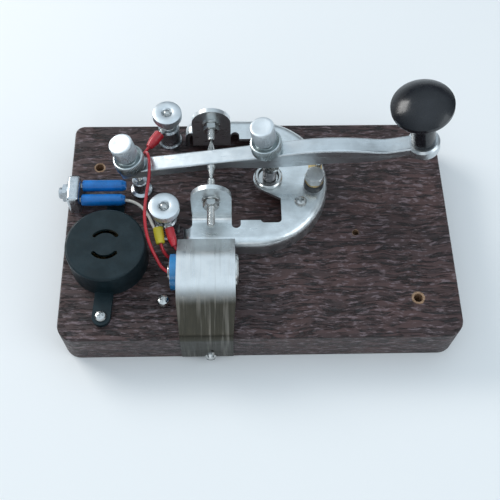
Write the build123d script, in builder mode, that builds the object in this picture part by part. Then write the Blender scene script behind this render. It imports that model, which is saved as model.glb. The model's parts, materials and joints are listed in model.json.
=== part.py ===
from build123d import *
import math
import os

# Straight morse key on a wooden board, with a practice buzzer, one cell and a line socket.
# Origin: centre of the board's underside. +X runs along the lever to the knob, +Y to the
# rear, +Z up. Millimetres. Heights named *_Z below are measured from the board's top.

os.makedirs("parts", exist_ok=True)

# ---------------------------------------------------------------- driving dimensions
BOARD_L = 200.0
BOARD_W = 127.0
BOARD_T = 24.0
BOARD_R_REAR = 5.0
BOARD_R_FRONT = 9.0
BOARD_HOLE_D = 4.5
BOARD_HOLES = [(-85.0, 36.0), (79.0, -43.0)]
PILOT_HOLE = (50.5, -5.5)
PILOT_D = 3.2
TOP = BOARD_T

KEY_Y = 21.5              # centreline of the frame and the lever
FRAME_H = 10.8            # height of the pressed frame above the board
FRAME_T = 2.0             # sheet thickness
FRAME_R = 39.0            # half width, and the radius of the round end
FRAME_NOSE_X = -2.4       # centre of the round end
FRAME_LEFT = -38.5
FRAME_SHOULDER = 4.5
RAIL_INNER = 25.0         # half gap between the rails
WEB_X = 11.5              # left edge of the web that joins the rails

PIVOT_X = -24.0
PIVOT_Z = 28.5
EAR_Y = 22.6              # half distance between the ears' middle planes
EAR_T = 2.4
EAR_R = 10.0
EAR_TOP = PIVOT_Z + 11.0
EAR_BEND = 3.3
RELIEF_R = 2.3

LEVER_W = 8.6
LEVER_T = 6.0
LEVER_SLOPE = 10.6        # degrees, rising to the knob
M4 = 4.0
M5 = 5.0
FIT = 0.05                # radial gap of a screw in its thread or hole

SPRING_X = 5.4            # spring cup on the frame's tongue
CUP_D = 14.6
CUP_H = 2.6
ANVIL_X = 28.8
ANVIL_Y = KEY_Y - 4.3
CONTACT_Y = KEY_Y + 2.4
CONTACT_X = 30.6
BUSH_SPIGOT_R = 3.0
TAIL_S = -40.2            # place of the gap screw along the lever, from the pivot
SPRING_S = 29.2           # place of the spring screw along the lever, from the pivot

POST_X = -47.3
POST_YS = {"rear": 53.5, "front": -3.0}
POST_H = 14.0
DISC_D = 15.4
DISC_Z = 25.4             # top of the thumb nuts

BUZZER = (-76.3, -19.6)
BUZZER_D = 39.6
BUZZER_H = 17.0
BUZZER_LUG = 32.5

CELL_L = 34.5
CELL_D = 17.6
CELL_X = -28.2
CELL_Y = -31.5
SLEEVE_T = 0.2

STRAP_T = 1.2
STRAP_X = -26.8
STRAP_W = 28.6
STRAP_FOOT_W = 26.0
STRAP_BENDS = [9.0, 14.0, 5.0]

JACK_Y = 15.2
JACK_Z = 8.0

WIRE_D = 1.6
SLEEVE_GAP = 0.12          # radial gap between a lead and the sleeve it leaves


def at(x, y, z):
    """A point given by its height above the board's top."""
    return (x, y, TOP + z)


def level(z):
    """Horizontal plane at a height above the board's top."""
    return Plane.XY.offset(TOP + z)


def lever_point(s, h):
    """X and height of the point s along the lever and h above its axis line."""
    a = math.radians(LEVER_SLOPE)
    x = PIVOT_X + s * math.cos(a) - h * math.sin(a)
    z = PIVOT_Z + s * math.sin(a) + h * math.cos(a)
    return x, z


def lever_plane(s, h):
    """Plane square to the lever's straight run, s along it and h above its axis line."""
    x, z = lever_point(s, h)
    a = math.radians(LEVER_SLOPE)
    return Plane(origin=at(x, KEY_Y, z), x_dir=(math.cos(a), 0, math.sin(a)),
                 z_dir=(-math.sin(a), 0, math.cos(a)))


def turned(plane, profile):
    """Solid of revolution about the plane's normal; profile holds (radius, height) points."""
    side = Plane(origin=plane.origin, x_dir=plane.x_dir, z_dir=-plane.y_dir)
    with BuildPart() as body:
        with BuildSketch(side):
            with BuildLine():
                Polyline(*profile, close=True)
            make_face()
        revolve(axis=Axis(plane.origin, plane.z_dir))
    return body.part


def tube_profile(r_in, r_out, z0, z1, c=0.3):
    """Profile of a plain ring with small outer chamfers."""
    return [(r_in, z0), (r_out - c, z0), (r_out, z0 + c), (r_out, z1 - c), (r_out - c, z1),
            (r_in, z1)]


def pan_screw(plane, head_d, head_h, shank_d, shank_l):
    """Pan-head screw with a cross recess; the plane is the seat under its head."""
    r = head_d / 2
    with BuildPart() as screw:
        add(turned(plane, [(0, -shank_l), (shank_d * 0.15, -shank_l),
                           (shank_d / 2, -shank_l + shank_d * 0.8), (shank_d / 2, 0), (r, 0),
                           (r, head_h * 0.45), (r * 0.8, head_h * 0.85), (r * 0.4, head_h),
                           (0, head_h)]))
        with BuildSketch(plane.offset(head_h * 0.45)):
            Rectangle(head_d * 0.55, head_d * 0.14)
            Rectangle(head_d * 0.14, head_d * 0.55)
        extrude(amount=head_h, mode=Mode.SUBTRACT)
    return screw.part


def hex_ring(plane, flats, bore_d, height):
    """Hexagon nut with chamfered corners; the plane is its lower face."""
    with BuildPart() as nut:
        with BuildSketch(plane):
            RegularPolygon(flats / 2, 6, major_radius=False)
        extrude(amount=height)
        r = flats / 2 / math.cos(math.radians(30)) + 0.01
        cone = turned(plane, [(0, 0), (flats / 2, 0), (r, height * 0.18), (r, height * 0.82),
                              (flats / 2, height), (0, height)])
        add(cone, mode=Mode.INTERSECT)
        with BuildSketch(plane):
            Circle(bore_d / 2)
        extrude(amount=height, mode=Mode.SUBTRACT)
    return nut.part


def lug_plane(origin, angle):
    """Plane of a ring terminal's flat ring, its x along the tongue."""
    turn = math.radians(angle)
    return Plane(origin=origin, x_dir=(math.cos(turn), math.sin(turn), 0), z_dir=(0, 0, 1))


def ring_lug(flat, barrel):
    """Ring terminal: flat ring, tongue and barrel tube, the barrel bent down and sideways."""
    with BuildPart() as lug:
        with BuildSketch(flat):
            Circle(4.0)
            with Locations((4.8, 0)):
                Rectangle(4.4, 3.0)
            Circle(M4 / 2 + 0.15, mode=Mode.SUBTRACT)
        extrude(amount=0.8)
        with BuildSketch(barrel.offset(-0.4)):
            Circle(1.55)
        extrude(amount=6.4)
        with BuildSketch(barrel.offset(1.6)):
            Circle(1.05)
        extrude(amount=6.0, mode=Mode.SUBTRACT)
    return lug.part


def lug_barrel_plane(flat, drop, bend):
    """Plane across the barrel's start, its normal along the barrel."""
    a = math.radians(drop)
    side = math.radians(bend)
    level_way = flat.x_dir * math.cos(side) + flat.y_dir * math.sin(side)
    start = flat.origin + flat.x_dir * 7.2 + flat.z_dir * 0.6
    return Plane(origin=start, x_dir=flat.y_dir * math.cos(side) - flat.x_dir * math.sin(side),
                 z_dir=level_way * math.cos(a) - flat.z_dir * math.sin(a))


def lug_sleeve(barrel, d0, d1, length):
    """Insulating sleeve over a ring terminal's barrel, tapering to the wire."""
    return turned(barrel, [(1.6, 0.2), (d0 / 2 - 0.3, 0.2), (d0 / 2, 0.6),
                           (d0 / 2, length * 0.55), (d1 / 2, length - 0.3),
                           (d1 / 2 - 0.3, length), (WIRE_D / 2 + SLEEVE_GAP, length),
                           (WIRE_D / 2 + SLEEVE_GAP, 6.1), (1.6, 6.1)])


def route_radii(points, share=0.45):
    """Largest even arc at each corner of a wire's route."""
    radii = []
    for before, here, after in zip(points, points[1:], points[2:]):
        run_in = Vector(*here) - Vector(*before)
        run_out = Vector(*after) - Vector(*here)
        turn = math.radians(run_in.get_angle(run_out))
        radii.append(share * min(run_in.length, run_out.length) / math.tan(turn / 2))
    return radii


def wire(points, diameter):
    """Round wire along straight runs joined by tangent arcs."""
    radii = route_radii(points)
    with BuildPart() as lead:
        with BuildLine():
            route = FilletPolyline(*points, radius=radii)
        with BuildSketch(Plane(origin=route @ 0, z_dir=route % 0)):
            Circle(diameter / 2)
        sweep(path=route)
    expected = math.pi * diameter ** 2 / 4 * route.length
    print(f"wire {route.length:.1f} mm, least radius {min(radii):.1f}, "
          f"volume ratio {lead.part.volume / expected:.3f}")
    return lead.part


# ---------------------------------------------------------------- pressed frame
FRAME_SCREWS = [(21.6, KEY_Y - 14.7), (21.6, KEY_Y + 14.7)]
with BuildPart() as key_frame:
    with BuildSketch(level(0)):
        with Locations((FRAME_NOSE_X, KEY_Y)):
            Circle(FRAME_R)
        with Locations(((FRAME_LEFT + FRAME_NOSE_X) / 2, KEY_Y)):
            Rectangle(FRAME_NOSE_X - FRAME_LEFT, 2 * FRAME_R)
    extrude(amount=FRAME_H)
    fillet(key_frame.edges().filter_by(Axis.Z).group_by(Axis.X)[0], 6.0)
    fillet(key_frame.faces().sort_by(Axis.Z)[-1].edges(), FRAME_SHOULDER)
    offset(amount=-FRAME_T, openings=key_frame.faces().sort_by(Axis.Z)[0])
    # the opening between the rails, with the spring tongue left standing
    with BuildSketch(level(0)) as window:
        with Locations(((FRAME_LEFT - 5 + WEB_X) / 2, KEY_Y)):
            Rectangle(WEB_X - FRAME_LEFT + 5, 2 * RAIL_INNER)
        for side in (-1, 1):
            with Locations((WEB_X / 2 + 0.4, KEY_Y + side * (RAIL_INNER - 2.5))):
                RectangleRounded(WEB_X - 0.8, 8.0, 2.0)
            for notch in (-1, 1):
                with Locations((PIVOT_X + notch * (EAR_R + RELIEF_R), KEY_Y + side * RAIL_INNER)):
                    SlotOverall(4.4 + 2 * RELIEF_R, 2 * RELIEF_R, rotation=90)
        with BuildLine():
            Polyline((WEB_X + 1, KEY_Y - 13), (WEB_X - 0.5, KEY_Y - 12),
                     (SPRING_X - 4.2, KEY_Y - 6.6), (SPRING_X - 4.2, KEY_Y + 6.6),
                     (WEB_X - 0.5, KEY_Y + 12), (WEB_X + 1, KEY_Y + 13), close=True)
        make_face(mode=Mode.SUBTRACT)
        with Locations((SPRING_X, KEY_Y)):
            Circle(7.8, mode=Mode.SUBTRACT)
    extrude(amount=FRAME_H, mode=Mode.SUBTRACT)
    # ears bent up from the rails' inner edges
    for side in (-1, 1):
        inner = KEY_Y + side * (EAR_Y - EAR_T / 2)
        outer = KEY_Y + side * (EAR_Y + EAR_T / 2)
        rail = KEY_Y + side * (RAIL_INNER + 1)
        with BuildSketch(level(FRAME_H - FRAME_T)):
            with Locations((PIVOT_X, (inner + rail) / 2)):
                Rectangle(2 * EAR_R, abs(rail - inner))
        extrude(amount=FRAME_T)
        face = Plane(origin=at(PIVOT_X, min(inner, outer), 0), x_dir=(1, 0, 0), z_dir=(0, 1, 0))
        with BuildSketch(face):
            with Locations((0, -(EAR_TOP - EAR_R))):
                Circle(EAR_R)
            with Locations((0, -(EAR_TOP - EAR_R + FRAME_H - FRAME_T) / 2)):
                Rectangle(2 * EAR_R, EAR_TOP - EAR_R - FRAME_H + FRAME_T)
        extrude(amount=EAR_T)
    bends = key_frame.edges().filter_by(Axis.X).filter_by_position(
        Axis.X, PIVOT_X - 0.1, PIVOT_X + 0.1)
    roots = bends.filter_by_position(Axis.Z, TOP + FRAME_H - 0.01, TOP + FRAME_H + 0.01)
    roots = roots.filter_by(lambda e: abs(abs(e.center().Y - KEY_Y) - EAR_Y - EAR_T / 2) < 0.05)
    fillet(roots, EAR_BEND)
    bends = key_frame.edges().filter_by(Axis.X)
    heels = bends.filter_by_position(Axis.Z, TOP + FRAME_H - FRAME_T - 0.01,
                                     TOP + FRAME_H - FRAME_T + 0.01)
    heels = heels.filter_by(lambda e: abs(abs(e.center().Y - KEY_Y) - EAR_Y + EAR_T / 2) < 0.05)
    fillet(heels, 2.0)
    with Locations(Plane(origin=at(PIVOT_X, KEY_Y, PIVOT_Z), z_dir=(0, 1, 0))):
        Cylinder(M4 / 2 + FIT, 2 * EAR_Y + 10, mode=Mode.SUBTRACT)
    with Locations(*[at(x, y, FRAME_H) for x, y in FRAME_SCREWS]):
        Hole(1.7, depth=FRAME_H)
    with Locations(at(SPRING_X, KEY_Y, FRAME_H)):
        Hole(2.6, depth=FRAME_H)
    with Locations(at(ANVIL_X, ANVIL_Y, FRAME_H)):
        Hole(BUSH_SPIGOT_R + 0.05, depth=FRAME_H)
key_frame.part.label = "key_frame"

with BuildPart() as frame_spacers:
    for x, y in FRAME_SCREWS:
        seat = Plane(origin=at(x, y, 0))
        add(turned(seat, tube_profile(1.7, 3.6, 0, FRAME_H - FRAME_T)))
frame_spacers.part.label = "frame_spacers"

with BuildPart() as frame_screws:
    for x, y in FRAME_SCREWS:
        add(pan_screw(Plane(origin=at(x, y, FRAME_H)), 6.2, 2.4, 3.2, FRAME_H + 9))
frame_screws.part.label = "frame_screws"

# ---------------------------------------------------------------- pivot
CONE_L = 8.2
CONE_TIP = LEVER_W / 2 + CONE_L


def pivot_plane(side, distance):
    """Plane square to the pivot axis, its normal pointing away from the lever."""
    return Plane(origin=at(PIVOT_X, KEY_Y + side * distance, PIVOT_Z), x_dir=(1, 0, 0),
                 z_dir=(0, side, 0))


with BuildPart() as pivot_screws:
    for side, outer_end in ((-1, 38.0), (1, 30.5)):
        start = pivot_plane(side, CONE_TIP - 0.9)
        length = outer_end - CONE_TIP + 0.9
        add(turned(start, [(0, 1.4), (1.25, 0.0), (1.6, 0.0), (2.0, 0.5), (2.0, length - 0.5),
                           (1.6, length), (0, length)]))
        slot = Plane(origin=start.origin + start.z_dir * (length - 0.9), x_dir=(1, 0, 0),
                     z_dir=start.z_dir)
        with BuildSketch(slot):
            Rectangle(5, 0.8)
        extrude(amount=2, mode=Mode.SUBTRACT)
pivot_screws.part.label = "pivot_screws"

NUT_SEATS = ((-1, EAR_Y + EAR_T / 2, 1), (1, EAR_Y - EAR_T / 2, -1))
with BuildPart() as pivot_washers:
    for side, seat_at, way in NUT_SEATS:
        seat = pivot_plane(side, seat_at)
        add(turned(Plane(origin=seat.origin, x_dir=(1, 0, 0), z_dir=seat.z_dir * way),
                   tube_profile(M4 / 2 + FIT, 4.6, 0.0, 0.9, 0.2)))
pivot_washers.part.label = "pivot_washers"

with BuildPart() as pivot_nuts:
    for side, seat_at, way in NUT_SEATS:
        seat = pivot_plane(side, seat_at + way * 0.9)
        add(hex_ring(Plane(origin=seat.origin, x_dir=(1, 0, 0), z_dir=seat.z_dir * way),
                     7.0, M4 + 2 * FIT, 3.2))
pivot_nuts.part.label = "pivot_nuts"

with BuildPart() as lever_axle:
    add(turned(pivot_plane(-1, -CONE_TIP), [
        (0, 0), (0.35, 0.1), (2.3, CONE_L), (2.3, CONE_L + LEVER_W), (0.35, 2 * CONE_TIP - 0.1),
        (0, 2 * CONE_TIP)]))
lever_axle.part.label = "lever_axle"

# ---------------------------------------------------------------- lever
BEND_TOP = [(34.0, 41.3), (45.5, 41.1), (53.5, 40.4), (61.0, 39.8), (68.0, 41.0), (75.0, 42.9)]
PAD_X = 80.0
PAD_Z = 44.1
PAD_R = 8.0
PAD_TILT = 13.0
PAD_T = 6.6


def knob_plane(h):
    """Plane square to the knob's axis, h above the lever's pad."""
    a = math.radians(PAD_TILT)
    origin = at(PAD_X - h * math.sin(a), KEY_Y, PAD_Z + h * math.cos(a))
    return Plane(origin=origin, x_dir=(math.cos(a), 0, math.sin(a)),
                 z_dir=(-math.sin(a), 0, math.cos(a)))


with BuildPart() as lever:
    tail_top = lever_point(-46.5, LEVER_T / 2)
    run_top = lever_point(46.0, LEVER_T / 2)
    tail_low = lever_point(-46.5, -LEVER_T / 2)
    run_low = lever_point(10.0, -LEVER_T / 2)
    side_plane = Plane(origin=(0, KEY_Y + LEVER_W / 2, TOP), x_dir=(1, 0, 0), z_dir=(0, -1, 0))
    slope = (math.cos(math.radians(LEVER_SLOPE)), math.sin(math.radians(LEVER_SLOPE)))
    pad_end = (PAD_X + 1.0, PAD_Z + 0.2)
    pad_slope = (math.cos(math.radians(PAD_TILT)), math.sin(math.radians(PAD_TILT)))
    with BuildSketch(side_plane):
        with BuildLine():
            Line(tail_top, run_top)
            Spline(run_top, *BEND_TOP, pad_end, tangents=[slope, pad_slope])
            low_end = (pad_end[0] + 1.5, pad_end[1] - PAD_T + 0.6)
            Line(pad_end, low_end)
            Spline(low_end, (74.0, 37.1), (66.0, 34.0), (56.0, 31.2), (45.0, 30.2), (34.0, 29.8),
                   (24.0, 28.6), (8.0, 26.8), run_low)
            Line(run_low, tail_low)
            Line(tail_low, tail_top)
        make_face()
    extrude(amount=LEVER_W)
    fillet(lever.edges().filter_by(Axis.Y).sort_by(Axis.X)[:2], 1.2)
    long_edges = lever.edges().filter_by(lambda e: abs(abs(e.center().Y - KEY_Y) - LEVER_W / 2) < 0.01
                                         and e.length > 20)
    fillet(long_edges, 0.9)
    add(turned(knob_plane(-PAD_T), [(0, 0), (PAD_R - 1, 0), (PAD_R, 1), (PAD_R, PAD_T - 1),
                                    (PAD_R - 1, PAD_T), (0, PAD_T)]))
    pin = Plane(origin=at(PIVOT_X, KEY_Y, PIVOT_Z), z_dir=(0, 1, 0))
    with Locations(pin):
        Cylinder(2.3, LEVER_W + 2, mode=Mode.SUBTRACT)
    for place in (TAIL_S, SPRING_S):
        with BuildSketch(lever_plane(place, -14)):
            Circle(M4 / 2 + FIT)
        extrude(amount=24, mode=Mode.SUBTRACT)
    with BuildSketch(knob_plane(-PAD_T - 6)):
        Circle(2.1)
    extrude(amount=PAD_T + 10, mode=Mode.SUBTRACT)
    with BuildSketch(level(20)):
        with Locations((CONTACT_X, CONTACT_Y)):
            Circle(1.6)
    extrude(amount=17.0, mode=Mode.SUBTRACT)
lever.part.label = "lever"

KNOB_TOP = 34.2
DOME_RISE = 5.6
with BuildPart() as knob:
    knob_base = knob_plane(0)
    dome_r = (14.6 ** 2 + DOME_RISE ** 2) / (2 * DOME_RISE)
    dome_middle = KNOB_TOP - dome_r + math.sqrt(dome_r ** 2 - 8.6 ** 2)
    side = Plane(origin=knob_base.origin, x_dir=knob_base.x_dir, z_dir=-knob_base.y_dir)
    with BuildSketch(side):
        with BuildLine():
            Polyline((0, 10), (2.0, 10), (2.0, 0), (5.4, 0), (5.9, 0.8), (5.9, 18.5))
            ThreePointArc((5.9, 18.5), (7.4, 22.2), (11.5, 24.4))
            ThreePointArc((11.5, 24.4), (13.9, 25.4), (14.6, 27.4))
            Line((14.6, 27.4), (14.6, 28.6))
            ThreePointArc((14.6, 28.6), (8.6, dome_middle), (0, KNOB_TOP))
            Line((0, KNOB_TOP), (0, 10))
        make_face()
    revolve(axis=Axis(knob_base.origin, knob_base.z_dir))
knob.part.label = "knob"

with BuildPart() as knob_screw:
    under = knob_plane(-PAD_T)
    flipped = Plane(origin=under.origin, x_dir=under.x_dir, z_dir=-under.z_dir)
    add(pan_screw(flipped, 6.8, 2.4, 3.9, PAD_T + 9.0))
knob_screw.part.label = "knob_screw"

with BuildPart() as contact_stud:
    add(turned(Plane(origin=at(CONTACT_X, CONTACT_Y, 0)), [
        (0, 17.65), (1.4, 17.65), (1.8, 18.05), (1.8, 24.0), (3.2, 24.0), (3.2, 28.4), (1.6, 28.4),
        (1.6, 36.5), (0, 36.5)]))
contact_stud.part.label = "contact_stud"


def thumb_screw(place, low, head_h, head_top):
    """Screw through the lever with a round head; low and head_top from its axis line."""
    return turned(lever_plane(place, 0), [
        (0, low), (1.5, low), (2.0, low + 0.6), (2.0, head_top - head_h),
        (5.2, head_top - head_h), (5.9, head_top - head_h + 0.6), (5.9, head_top - 0.6),
        (5.3, head_top), (0, head_top)])


def thumb_locknut(place, d0, height):
    """Round lock nut that sits on the lever's top."""
    seat = lever_plane(place, LEVER_T / 2 + 0.1)
    r = d0 / 2
    return turned(seat, [(M4 / 2 + FIT, 0), (r - 2.6, 0), (r - 2.2, 1.0), (r - 0.4, 1.2),
                         (r, 1.8), (r, height - 0.6), (r - 0.6, height),
                         (M4 / 2 + FIT, height)])


LOCKNUT_D = 15.8
LOCKNUT_H = 8.6
HEAD_GAP = 0.5
head_base = LEVER_T / 2 + 0.1 + LOCKNUT_H + HEAD_GAP
with BuildPart() as gap_screw:
    add(thumb_screw(TAIL_S, -10.2, 10.5, head_base + 10.5))
gap_screw.part.label = "gap_screw"
with BuildPart() as gap_locknut:
    add(thumb_locknut(TAIL_S, LOCKNUT_D, LOCKNUT_H))
gap_locknut.part.label = "gap_locknut"
with BuildPart() as spring_screw:
    add(thumb_screw(SPRING_S, -11.0, 10.5, head_base + 10.5))
spring_screw.part.label = "spring_screw"
with BuildPart() as spring_locknut:
    add(thumb_locknut(SPRING_S, LOCKNUT_D, LOCKNUT_H))
spring_locknut.part.label = "spring_locknut"

# ---------------------------------------------------------------- spring, cup, anvils
with BuildPart() as spring_cup:
    add(turned(Plane(origin=at(SPRING_X, KEY_Y, FRAME_H)), [
        (0, -FRAME_T - 1.6), (3.4, -FRAME_T - 1.6), (3.4, -FRAME_T), (2.55, -FRAME_T), (2.55, 0),
        (CUP_D / 2 - 0.5, 0), (CUP_D / 2, 0.6), (CUP_D / 2, CUP_H - 0.6),
        (CUP_D / 2 - 0.7, CUP_H), (CUP_D / 2 - 1.7, CUP_H), (CUP_D / 2 - 2.4, 1.0), (0, 1.0)]))
spring_cup.part.label = "spring_cup"

SPRING_D = 7.2
SPRING_WIRE = 0.9
CAP_R = 3.7
CAP_LOW = -12.3
with BuildPart() as spring_cap:
    add(turned(lever_plane(SPRING_S, 0), [
        (0, CAP_LOW - 2.6), (1.2, CAP_LOW - 2.6), (1.6, CAP_LOW - 2.0), (1.6, CAP_LOW),
        (CAP_R, CAP_LOW), (CAP_R, -11.2), (0, -11.2)]))
spring_cap.part.label = "spring_cap"

SPRING_Z0 = FRAME_H + 1.0 + SPRING_WIRE / 2 + 0.02
cap_edge = CAP_R * math.sin(math.radians(LEVER_SLOPE))
SPRING_Z1 = lever_point(SPRING_S, CAP_LOW)[1] - cap_edge - SPRING_WIRE / 2 - 0.3
SPRING_TURNS = 5.5
with BuildPart() as return_spring:
    with BuildLine():
        coil = Helix(pitch=(SPRING_Z1 - SPRING_Z0) / SPRING_TURNS, height=SPRING_Z1 - SPRING_Z0,
                     radius=(SPRING_D - SPRING_WIRE) / 2,
                     center=at(SPRING_X + 0.6, KEY_Y, SPRING_Z0))
    with BuildSketch(Plane(origin=coil @ 0, z_dir=coil % 0)):
        Circle(SPRING_WIRE / 2)
    sweep(path=coil, is_frenet=True)
return_spring.part.label = "return_spring"

ANVIL_SEAT = 15.4
with BuildPart() as anvil_bush:
    add(turned(Plane(origin=at(ANVIL_X, ANVIL_Y, 0)), [
        (M5 / 2 + FIT, FRAME_H - FRAME_T), (BUSH_SPIGOT_R, FRAME_H - FRAME_T),
        (BUSH_SPIGOT_R, FRAME_H),
        (5.1, FRAME_H), (5.1, ANVIL_SEAT - 0.4), (4.7, ANVIL_SEAT), (M5 / 2 + FIT, ANVIL_SEAT)]))
anvil_bush.part.label = "anvil_bush"
STRIP_T = 1.0
with BuildPart() as anvil_strip:
    with BuildSketch(level(ANVIL_SEAT)):
        with Locations((ANVIL_X, ANVIL_Y)):
            Circle(4.7)
        with Locations(((ANVIL_X + CONTACT_X) / 2, (ANVIL_Y + CONTACT_Y + 3) / 2)):
            Rectangle(7.0, CONTACT_Y + 3 - ANVIL_Y)
        with Locations((ANVIL_X, ANVIL_Y)):
            Circle(M5 / 2 + FIT, mode=Mode.SUBTRACT)
    extrude(amount=STRIP_T)
anvil_strip.part.label = "anvil_strip"
with BuildPart() as anvil_bolt:
    head = Plane(origin=at(ANVIL_X, ANVIL_Y, ANVIL_SEAT + STRIP_T))
    add(hex_ring(head, 8.8, 1.0, 5.0))
    with BuildSketch(head.offset(4.6)):
        Circle(1.0)
    extrude(amount=-4.6)
    with BuildSketch(head):
        Circle(M5 / 2)
    extrude(amount=-(ANVIL_SEAT + STRIP_T - 2.2))
    with BuildSketch(head.offset(0)):
        Circle(1.2)
    extrude(amount=4.8)
anvil_bolt.part.label = "anvil_bolt"
with BuildPart() as anvil_washer:
    add(turned(Plane(origin=at(ANVIL_X, ANVIL_Y, FRAME_H - FRAME_T)), [
        (M5 / 2 + FIT, -1.0), (3.6, -1.0), (3.6, -0.5), (BUSH_SPIGOT_R + 0.05, 0),
        (M5 / 2 + FIT, 0)]))
anvil_washer.part.label = "anvil_washer"
with BuildPart() as anvil_nut:
    add(hex_ring(Plane(origin=at(ANVIL_X, ANVIL_Y, FRAME_H - FRAME_T - 5.0)), 8.0,
                 M5 + 2 * FIT, 4.0))
anvil_nut.part.label = "anvil_nut"

tip_x, tip_z = lever_point(TAIL_S, -10.2)
TAIL_ANVIL_H = tip_z - 0.45
with BuildPart() as tail_anvil:
    add(turned(Plane(origin=at(tip_x, KEY_Y, 0)), [
        (0, 0), (5.6, 0), (5.6, 1.6), (4.0, 2.4), (4.0, TAIL_ANVIL_H - 0.5),
        (3.5, TAIL_ANVIL_H), (0, TAIL_ANVIL_H)]))
tail_anvil.part.label = "tail_anvil"

# ---------------------------------------------------------------- binding posts
LUG_Z = POST_H + 0.05
# post, lift, angle of the tongue, drop of the barrel and its bend in plan, all in degrees
LUGS = {
    "rear_red": ("rear", 0.0, -126.5, 8.0, 0.0),
    "front_yellow": ("front", 0.0, -120.0, 14.0, 40.0),
    "front_red": ("front", 0.9, -73.8, 16.0, 0.0),
}
with BuildPart() as post_pillars:
    for y in POST_YS.values():
        add(turned(Plane(origin=at(POST_X, y, 0)), [
            (0, 0), (6.4, 0), (6.4, 1.2), (5.6, 2.0), (5.6, POST_H - 0.5), (5.1, POST_H),
            (2.0, POST_H), (2.0, DISC_Z - 0.1), (1.5, DISC_Z + 0.4), (0, DISC_Z + 0.4)]))
post_pillars.part.label = "post_pillars"

washer_z = {"rear": LUG_Z + 0.85, "front": LUG_Z + 1.75}
with BuildPart() as post_washers:
    for name, y in POST_YS.items():
        add(turned(Plane(origin=at(POST_X, y, washer_z[name])),
                   tube_profile(M4 / 2 + 0.15, 4.6, 0, 0.8, 0.2)))
post_washers.part.label = "post_washers"

thumb_nuts = {}
for name, y in POST_YS.items():
    low = washer_z[name] + 0.9
    with BuildPart() as thumb_nut:
        add(turned(Plane(origin=at(POST_X, y, 0)), [
            (M4 / 2 + FIT, low), (4.4, low), (4.6, low + 0.3), (4.6, DISC_Z - 4.6),
            (DISC_D / 2 - 0.4, DISC_Z - 4.4), (DISC_D / 2, DISC_Z - 4.0),
            (DISC_D / 2, DISC_Z - 0.5), (DISC_D / 2 - 0.5, DISC_Z), (2.9, DISC_Z),
            (M4 / 2 + FIT, DISC_Z - 1.3)]))
    thumb_nut.part.label = f"thumb_nut_{name}"
    thumb_nuts[name] = thumb_nut.part

lugs = {}
sleeves = {}
SLEEVE_SIZES = {"rear_red": (5.6, 3.6, 10.0), "front_yellow": (5.0, 4.4, 8.6),
                "front_red": (4.6, 2.8, 10.0)}
barrels = {}
for name, (post, lift, angle, drop, bend) in LUGS.items():
    flat = lug_plane(at(POST_X, POST_YS[post], LUG_Z + lift), angle)
    barrels[name] = lug_barrel_plane(flat, drop, bend)
    lug = ring_lug(flat, barrels[name])
    lug.label = f"lug_{name}"
    lugs[name] = lug
    d0, d1, length = SLEEVE_SIZES[name]
    sleeve = lug_sleeve(barrels[name], d0, d1, length)
    sleeve.label = f"lug_sleeve_{name}"
    sleeves[name] = sleeve


def lug_exit(name, distance):
    """Point on a lug's barrel axis, at a distance from the barrel's start."""
    p = barrels[name].origin + barrels[name].z_dir * distance
    return (p.X, p.Y, p.Z)


# ---------------------------------------------------------------- buzzer
bx, by = BUZZER
LUG_AXIS = math.radians(-93.5)
lug_places = [(bx + s * BUZZER_LUG * math.cos(LUG_AXIS), by + s * BUZZER_LUG * math.sin(LUG_AXIS))
              for s in (1, -1)]
with BuildPart() as buzzer_case:
    with BuildSketch(level(0)):
        with Locations((bx, by)):
            Circle(BUZZER_D / 2)
    extrude(amount=BUZZER_H)
    fillet(buzzer_case.edges().sort_by(Axis.Z)[-1], 1.2)
    for x, y in lug_places:
        with BuildSketch(level(0)):
            with BuildLine():
                Line((bx, by), (x, y))
            trace(line_width=9.0)
            with Locations((x, y)):
                Circle(4.5)
        extrude(amount=2.6)
    with BuildSketch(level(0)):
        with Locations((bx, by)):
            Circle(BUZZER_D / 2 - 1.8)
    extrude(amount=BUZZER_H - 1.8, mode=Mode.SUBTRACT)
    with Locations(*[at(x, y, 2.6) for x, y in lug_places]):
        Hole(1.6, depth=2.6)
    for middle in (90, 270):
        with BuildSketch(level(BUZZER_H - 3)):
            with Locations((bx, by)):
                SlotArc(CenterArc((0, 0), 7.2, middle - 48, 96), 2.1)
        extrude(amount=4, mode=Mode.SUBTRACT)
buzzer_case.part.label = "buzzer_case"
with BuildPart() as buzzer_base:
    with BuildSketch(level(0.4)):
        with Locations((bx, by)):
            Circle(BUZZER_D / 2 - 1.9)
    extrude(amount=2.0)
buzzer_base.part.label = "buzzer_base"
with BuildPart() as buzzer_disc:
    with BuildSketch(level(9.0)):
        with Locations((bx, by)):
            Circle(BUZZER_D / 2 - 1.9)
    extrude(amount=0.6)
buzzer_disc.part.label = "buzzer_disc"
with BuildPart() as buzzer_screws:
    for x, y in lug_places:
        add(pan_screw(Plane(origin=at(x, y, 2.6)), 5.6, 2.1, 3.0, 12))
buzzer_screws.part.label = "buzzer_screws"

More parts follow.
